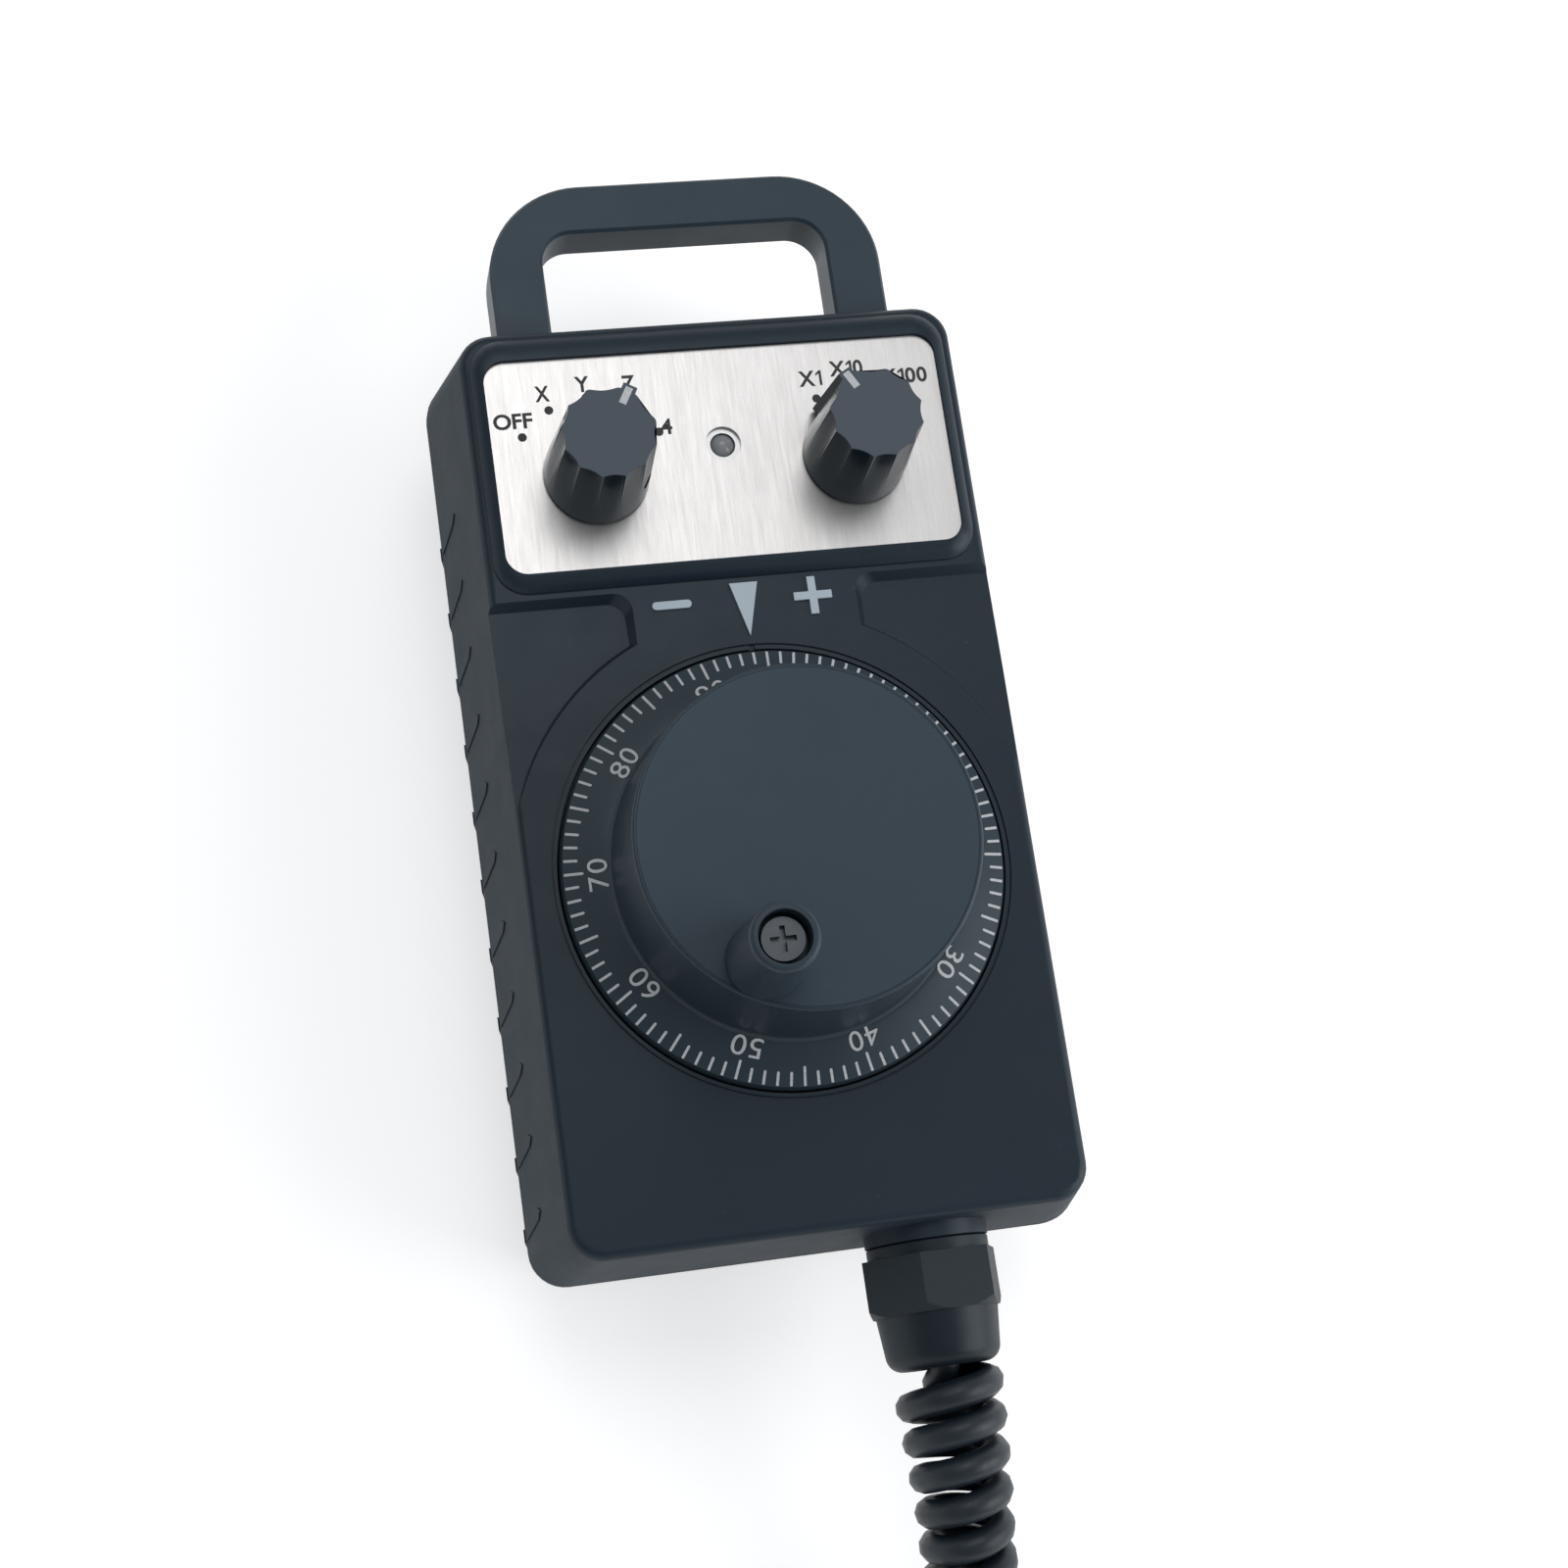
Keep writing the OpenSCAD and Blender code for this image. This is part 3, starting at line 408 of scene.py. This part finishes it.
# Colours of the mouldings. The loop, dial and cap colours are the housing's dark plastic painted
# lighter, as painted light from above
HOUSING = (0.009, 0.018, 0.029)
LOOP_PAINTED_LIGHTER = (0.028, 0.044, 0.060)
DIAL_PAINTED_LIGHTER = (0.025, 0.039, 0.053)
CAP_PAINTED_LIGHTER = (0.033, 0.051, 0.070)

materials = {
    "housing_plastic": moulded("housing_plastic", HOUSING, 0.4, wall_roughness=0.66),
    # The loop's lighter colour is painted light from above
    "loop_plastic": moulded("loop_plastic", LOOP_PAINTED_LIGHTER, 0.42),
    "plate_metal": brushed("plate_metal", (0.64, 0.625, 0.615), 0.36, (1, 0.035, 1)),
    "mark_print": moulded("mark_print", (0.50, 0.58, 0.64), 0.5, specks=False),
    "knob_gloss": knob_plastic("knob_gloss", KNOB_TOP),
    "white_print": print_ink("white_print", (0.62, 0.64, 0.66)),
    "steel": plain_metal("steel", (0.56, 0.56, 0.57), 0.3),
    "dark_steel": plain_metal("dark_steel", (0.10, 0.11, 0.12), 0.35),
    "lamp_ring": plain_metal("lamp_ring", (0.50, 0.50, 0.50), 0.3),
    "black_plastic": moulded("black_plastic", (0.014, 0.015, 0.017), 0.4, specks=False),
    "lamp_lens": milky_lens("lamp_lens"),
    # The dial's and cap's lighter colours are painted light from above
    "dial_plastic": moulded("dial_plastic", DIAL_PAINTED_LIGHTER, 0.4),
    "cap_plastic": moulded("cap_plastic", CAP_PAINTED_LIGHTER, 0.44),
    "brass": plain_metal("brass", (0.62, 0.45, 0.18), 0.3),
    "encoder_aluminium": plain_metal("encoder_aluminium", (0.60, 0.61, 0.62), 0.35),
    "disc_metal": plain_metal("disc_metal", (0.45, 0.46, 0.47), 0.3),
    "circuit_board": moulded("circuit_board", (0.02, 0.12, 0.05), 0.35, specks=False),
    "terminal_plastic": moulded("terminal_plastic", (0.03, 0.20, 0.10), 0.4, specks=False),
    "gland_plastic": moulded("gland_plastic", (0.005, 0.010, 0.016), 0.42, specks=False,
                             wall_roughness=0.55),
    "black_rubber": rubber("black_rubber", (0.010, 0.011, 0.012), 0.6),
    "cord_jacket": rubber("cord_jacket", (0.010, 0.018, 0.027), 0.42),
    "tie_fabric": woven("tie_fabric", (0.02, 0.021, 0.023)),
    "plug_metal": plain_metal("plug_metal", (0.62, 0.62, 0.63), 0.28),
}


def read_values(items, name, kind=float, width=1):
    """One value, or a row of width values, for each vertex, loop or face."""
    result = np.zeros(len(items) * width, kind)
    items.foreach_get(name, result)
    return result if width == 1 else result.reshape(-1, width)


def soften(mesh):
    """Gives a mesh smooth normals across its shallow edges, weighted by area. No vertex moves."""
    shallow_deg = 25.0
    same_spot = 0.002 * MM
    points = read_values(mesh.vertices, "co", width=3)
    corner_vertex = read_values(mesh.loops, "vertex_index", int)
    normals = read_values(mesh.polygons, "normal", width=3)
    areas = read_values(mesh.polygons, "area")
    corner_face = np.repeat(np.arange(len(areas)), read_values(mesh.polygons, "loop_total", int))
    cells = np.round(points / same_spot).astype(np.int64)
    _, spot = np.unique(cells, axis=0, return_inverse=True)
    corner_spot = spot.reshape(-1)[corner_vertex]
    order = np.argsort(corner_spot, kind="stable")
    starts = np.flatnonzero(np.diff(corner_spot[order], prepend=-1))
    limit = math.cos(math.radians(shallow_deg))
    result = np.zeros((len(corner_vertex), 3))
    for group in np.split(order, starts[1:]):
        own = normals[corner_face[group]]
        near = (own @ own.T) > limit
        mixed = near @ (own * areas[corner_face[group]][:, None])
        length = np.linalg.norm(mixed, axis=1, keepdims=True)
        result[group] = np.where(length > 0, mixed / np.maximum(length, 1e-30), own)
    mesh.polygons.foreach_set("use_smooth", np.ones(len(areas), bool))
    mesh.normals_split_custom_set(result.tolist())


def finish_cad_nodes():
    """Smooths each CAD node's shading and gives it its material slot's finish."""
    slots = {part["node"]: part["material_slot"] for part in frame["record"]["subparts"]}
    slots["led_holder"] = "lamp_ring"  # a bright ring round the lens
    for name, node in NODES.items():
        soften(node.data)
        node.data.materials.clear()
        node.data.materials.append(materials[slots[name]])


finish_cad_nodes()


# ---- tools for the pieces made here ----

def add_piece(name, mesh, body, slot, material=None):
    """A new piece that rides on a body, in the slot's finish unless it has its own material."""
    piece = bpy.data.objects.new(name, mesh)
    bpy.context.scene.collection.objects.link(piece)
    mesh.materials.append(material or materials[slot])
    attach(piece, body)


def finished(name, shape):
    """A mesh from a bmesh, which is freed."""
    mesh = bpy.data.meshes.new(name)
    shape.to_mesh(mesh)
    shape.free()
    return mesh


def merged(name, meshes):
    """One mesh from several, which are removed."""
    shape = bmesh.new()
    for mesh in meshes:
        shape.from_mesh(mesh)
        bpy.data.meshes.remove(mesh)
    return finished(name, shape)


def close_prism(shape, low, high):
    """Top, bottom and side faces between two rings of vertices."""
    shape.faces.new(high)
    shape.faces.new(low[::-1])
    for k in range(len(low)):
        after = (k + 1) % len(low)
        shape.faces.new((low[k], low[after], high[after], high[k]))


def smooth_route(points, step):
    """Points on a Catmull-Rom curve through the given ones, which are in millimetres.

    The points found are in metres, and so is the step between them.
    """
    parts = 40
    knots = [Vector(p) * MM for p in points]
    knots = [knots[0] * 2 - knots[1]] + knots + [knots[-1] * 2 - knots[-2]]
    dense = []
    for before, a, b, after in zip(knots, knots[1:], knots[2:], knots[3:]):
        bend = 2 * before - 5 * a + 4 * b - after
        twist = 3 * a - before - 3 * b + after
        for k in range(parts):
            t = k / parts
            dense.append(0.5 * (2 * a + (b - before) * t + bend * t ** 2 + twist * t ** 3))
    dense.append(knots[-2])
    even = [dense[0]]
    carried = 0.0
    for a, b in zip(dense, dense[1:]):
        stretch = (b - a).length
        while carried + stretch >= step:
            a = a + (b - a) * ((step - carried) / stretch)
            stretch = (b - a).length
            carried = 0.0
            even.append(a)
        carried += stretch
    return even


# ---- curly cord ----

# The coil's middle line, from the gland down to the floor and along the three runs of the hank
CORD_ROUTE = [
    (14.1, -67.3, 28.5), (14.2, -78, 27.6), (14.3, -86, 26.1), (14.4, -93, 23.6),
    (14.7, -99.5, 20.2), (15.4, -106.5, 16.2), (16.7, -114, 12.4), (18.7, -122, 9.6),
    (21.2, -130, 8.1), (23.2, -139, 7.6), (24, -150, 7.6), (24, -175, 7.6), (24, -200, 7.6),
    (24, -230, 7.6), (24, -258, 7.6), (20.5, -266.5, 7.6), (12, -270, 7.6), (3.5, -266.5, 7.6),
    (0, -258, 7.6), (0, -230, 7.6), (0, -200, 7.6), (0, -175, 7.6), (0, -148, 7.6),
    (-3.5, -139.5, 7.6), (-12, -136, 7.6), (-20.5, -139.5, 7.6), (-24, -148, 7.6),
    (-24, -175, 7.6), (-24, -200, 7.6), (-24, -230, 7.6), (-24, -258, 7.6),
]
# The straight end that goes into the plug
TAIL_ROUTE = [
    (-24, -258, 7.6), (-24, -266, 7.8), (-23, -274, 8.4), (-20, -282, 9.2), (-14, -287, 9.8),
    (-8, -287, 9.8),
]
STRAND_D = 4.0 * MM
COIL_PITCH = 4.69 * MM
TURN_POINTS = 28
# The strand's way from inside the gland into its first turn: how far out of the gland,
# how far from the middle of the coil, and the angle round it
LEAD_IN = [
    (-3.0, 0.0, 240), (-1.6, 0.0, 240), (-0.3, 0.05, 240), (0.8, 0.5, 238), (1.6, 1.4, 240),
    (2.05, 2.6, 250), (2.2, 3.7, 270), (2.2, 4.6, 295), (2.15, 5.2, 320), (2.15, 5.45, 342),
]
FIRST_TURN = 2.2 * MM
# Radius of the strand's centre in millimetres: at rest, at the gland, and its fall per millimetre
RELAXED_R = 4.55
STRETCHED_R = 5.66
TIGHTENING = 0.052
# The last stretch of the coil, over which it closes
CLOSING = 7 * MM


def around(side, ahead, turn):
    """The direction at an angle round the route, from side."""
    return side * math.cos(turn) + ahead.cross(side) * math.sin(turn)


def coil_radius(travelled, total):
    """Radius of the strand's centre round the route: widest at the gland, closed at the end."""
    radius = max(RELAXED_R, STRETCHED_R - TIGHTENING * travelled / MM) * MM
    ease = min(1.0, (total - travelled) / CLOSING)
    return radius * ease * ease * (3 - 2 * ease)


def coil_turn(since):
    """Angle of the strand round the route, with a slow wander in the spacing of its turns."""
    wander = 0.10 * math.sin(since / (31 * MM)) + 0.06 * math.sin(since / (11 * MM))
    return 2 * math.pi * since / COIL_PITCH + wander


def cord_strand():
    """The strand's centre line: out of the gland, round the coil and into the plug."""
    step = COIL_PITCH / TURN_POINTS
    route = smooth_route(CORD_ROUTE, step)
    total = (len(route) - 1) * step
    ahead = (route[1] - route[0]).normalized()
    side = Vector((1, 0, 0))
    lead_in = []
    for out, radius, angle in LEAD_IN:
        lead_in.append(route[0] / MM + ahead * out + around(side, ahead, math.radians(angle)) * radius)
    coil = []
    for i, point in enumerate(route):
        ahead = (route[min(i + 1, len(route) - 1)] - route[max(i - 1, 0)]).normalized()
        side = (side - ahead * side.dot(ahead)).normalized()
        travelled = i * step
        if travelled >= FIRST_TURN:
            outward = around(side, ahead, coil_turn(travelled - FIRST_TURN))
            coil.append(point + outward * coil_radius(travelled, total))
    entry = smooth_route(lead_in + [coil[0] / MM], 0.5 * MM)
    return entry + coil + smooth_route(TAIL_ROUTE, MM)[1:]


def make_cord():
    strand = cord_strand()
    curve = bpy.data.curves.new("curly_cord", "CURVE")
    curve.dimensions = "3D"
    curve.bevel_depth = STRAND_D / 2
    curve.bevel_resolution = 3
    curve.use_fill_caps = True
    spline = curve.splines.new("POLY")
    spline.points.add(len(strand) - 1)
    for target, point in zip(spline.points, strand):
        target.co = (*point, 1)
    spline.use_smooth = True
    cord = bpy.data.objects.new("curly_cord", curve)
    bpy.context.scene.collection.objects.link(cord)
    curve.materials.append(materials["cord_jacket"])
    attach(cord, "pendant")
    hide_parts("coil_cord", "cord_tail")


make_cord()


# ---- graduation of the dial ----

DIAL_RIM_R = 29.7 * MM
DIAL_RIM_Z = 41.0 * MM
DIAL_INNER_R = 24.6 * MM
DIAL_INNER_Z = 42.45 * MM
TICK_COUNT = 100
# The value that stands at the pointer, and the degrees by which the dial is off it
READING = 94
TICK_OFFSET = -0.34
TICK_HALF = 0.18 * MM
TICK_OUTER_R = 29.6 * MM
FIFTH_TICK_R = 27.25 * MM
TICK_R = 27.95 * MM
NUMBER_R = 25.3 * MM
NUMBER_HEIGHT = 2.6 * MM
TWO_FIGURES_WIDTH = 4.2 * MM
NUMBER_TURN = -0.8
# Printing stands a little proud and starts below the surface
PRINT_TOP = 0.02 * MM
PRINT_FOOT = -0.05 * MM
# Half the depth of a letter and the gap between letters, in the font's units
GLYPH_HALF = 0.02
GLYPH_GAP = 0.1


def on_cone(radius, angle_deg, lift):
    """A point on the dial's cone, at an angle clockwise from +Y, lifted off the surface."""
    slope = (DIAL_INNER_Z - DIAL_RIM_Z) / (DIAL_RIM_R - DIAL_INNER_R)
    height = DIAL_RIM_Z + (DIAL_RIM_R - radius) * slope
    angle = math.radians(angle_deg)
    return Vector((radius * math.sin(angle), radius * math.cos(angle), height + lift))


def reading_angle(value):
    """Degrees clockwise from +Y at which a value of the scale stands."""
    return (value - READING) * 360 / TICK_COUNT + TICK_OFFSET


def make_ticks():
    """Raised strokes with rounded inner ends."""
    shape = bmesh.new()
    end_parts = 4
    for k in range(TICK_COUNT):
        inner = FIFTH_TICK_R if k % 5 == 0 else TICK_R
        angle = reading_angle(k)
        outline = [(TICK_OUTER_R, TICK_HALF), (TICK_OUTER_R, -TICK_HALF)]
        for step in range(end_parts + 1):
            bend = math.pi * step / end_parts
            outline.append((inner - TICK_HALF * math.sin(bend), -TICK_HALF * math.cos(bend)))
        low, high = [], []
        for radius, aside in outline:
            turn = angle + math.degrees(aside / radius)
            low.append(shape.verts.new(on_cone(radius, turn, PRINT_FOOT)))
            high.append(shape.verts.new(on_cone(radius, turn, PRINT_TOP)))
        close_prism(shape, low, high)
    bmesh.ops.recalc_face_normals(shape, faces=shape.faces)
    add_piece("dial_graduation", finished("dial_graduation", shape), "handwheel", "white_print")


def figure_one(weight):
    """The numeral 1 with a flag, in the font's units. It has no foot."""
    stem = 0.075 + 2 * weight
    right = 0.29
    top = 0.7
    flag = 0.56
    outline = [(right - stem, 0), (right, 0), (right, top), (right - 0.8 * stem, top), (0, flag),
               (0, flag - 0.9 * stem), (right - stem, flag)]
    shape = bmesh.new()
    high = [shape.verts.new((x, y, GLYPH_HALF)) for x, y in outline]
    low = [shape.verts.new((x, y, -GLYPH_HALF)) for x, y in outline]
    close_prism(shape, low, high)
    return finished("figure_one", shape)


def font_glyph(letter, weight):
    """A mesh of one letter or figure, its strokes thicker by weight on each side."""
    curve = bpy.data.curves.new("lettering", "FONT")
    curve.body = letter
    curve.size = 1.0
    curve.extrude = GLYPH_HALF
    curve.offset = weight
    curve.resolution_u = 4
    holder = bpy.data.objects.new("lettering", curve)
    bpy.context.scene.collection.objects.link(holder)
    bpy.context.view_layer.update()
    depsgraph = bpy.context.evaluated_depsgraph_get()
    mesh = bpy.data.meshes.new_from_object(holder.evaluated_get(depsgraph))
    bpy.data.objects.remove(holder)
    bpy.data.curves.remove(curve)
    return mesh


def lettering(text, height, width=None, weight=0.0):
    """A flat mesh of the text about its own centre, its capitals the given height."""
    meshes = []
    edge = 0.0
    for letter in text:
        mesh = figure_one(weight) if letter == "1" else font_glyph(letter, weight)
        xs = [v.co.x for v in mesh.vertices]
        mesh.transform(Matrix.Translation((edge - min(xs), 0, 0)))
        edge += max(xs) - min(xs) + GLYPH_GAP - 2 * weight
        meshes.append(mesh)
    mesh = merged("lettering", meshes)
    xs = [v.co.x for v in mesh.vertices]
    ys = [v.co.y for v in mesh.vertices]
    centre_x, centre_y = (max(xs) + min(xs)) / 2, (max(ys) + min(ys)) / 2
    scale_y = height / (max(ys) - min(ys))
    scale_x = scale_y if width is None else width / (max(xs) - min(xs))
    for vertex in mesh.vertices:
        flat = vertex.co
        lift = PRINT_TOP if flat.z > 0 else PRINT_FOOT
        vertex.co = ((flat.x - centre_x) * scale_x, (flat.y - centre_y) * scale_y, lift)
    return mesh


def make_dial_numbers():
    """Every tenth value, bent round the dial with its head outward."""
    meshes = []
    for value in range(0, TICK_COUNT, 10):
        mesh = lettering(str(value), NUMBER_HEIGHT, None if value == 0 else TWO_FIGURES_WIDTH)
        angle = reading_angle(value) + NUMBER_TURN
        for vertex in mesh.vertices:
            x, y, lift = vertex.co
            vertex.co = on_cone(NUMBER_R + y, angle + math.degrees(x / NUMBER_R), lift)
        meshes.append(mesh)
    add_piece("dial_numbers", merged("dial_numbers", meshes), "handwheel", "white_print")


make_ticks()
make_dial_numbers()


# ---- printing on the plate ----

PLATE_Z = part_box("face_plate")[1].z
LABEL_HEIGHT = 2.3
LABEL_WEIGHT = 0.026
DOT_R = 0.62 * MM
# Text, middle and width of each label, and the middle of each dot, in millimetres
PLATE_LABELS = [
    ("OFF", -28.5, 65.2, 5.4), ("X", -24.05, 68.9, 2.0), ("Y", -18.4, 69.9, 2.0),
    ("Z", -12.0, 69.6, 1.9), ("4", -7.55, 62.9, 1.6),
    ("X1", 13.55, 68.4, 3.3), ("X10", 18.85, 69.6, 4.8), ("X100", 26.9, 67.9, 6.8),
]
PLATE_DOTS = [(-27.48, 62.82), (-23.4, 66.45), (-18.1, 67.9), (-12.75, 66.4), (-8.67, 62.2),
              (14.03, 65.39), (18.1, 67.3), (22.9, 65.6)]


def make_plate_print():
    """The selectors' legends and the dot at each place of a knob."""
    meshes = []
    for text, x, y, width in PLATE_LABELS:
        mesh = lettering(text, LABEL_HEIGHT * MM, width * MM, LABEL_WEIGHT)
        mesh.transform(Matrix.Translation((x * MM, y * MM, PLATE_Z)))
        meshes.append(mesh)
    for x, y in PLATE_DOTS:
        place = Matrix.Translation((x * MM, y * MM, PLATE_Z + (PRINT_TOP + PRINT_FOOT) / 2))
        dot = bmesh.new()
        bmesh.ops.create_cone(dot, cap_ends=True, segments=24, radius1=DOT_R, radius2=DOT_R,
                              depth=PRINT_TOP - PRINT_FOOT, matrix=place)
        meshes.append(finished("dot", dot))
    ink = print_ink("plate_ink", (0.035, 0.035, 0.038))
    add_piece("plate_print", merged("plate_print", meshes), "pendant", "black_plastic", ink)


make_plate_print()
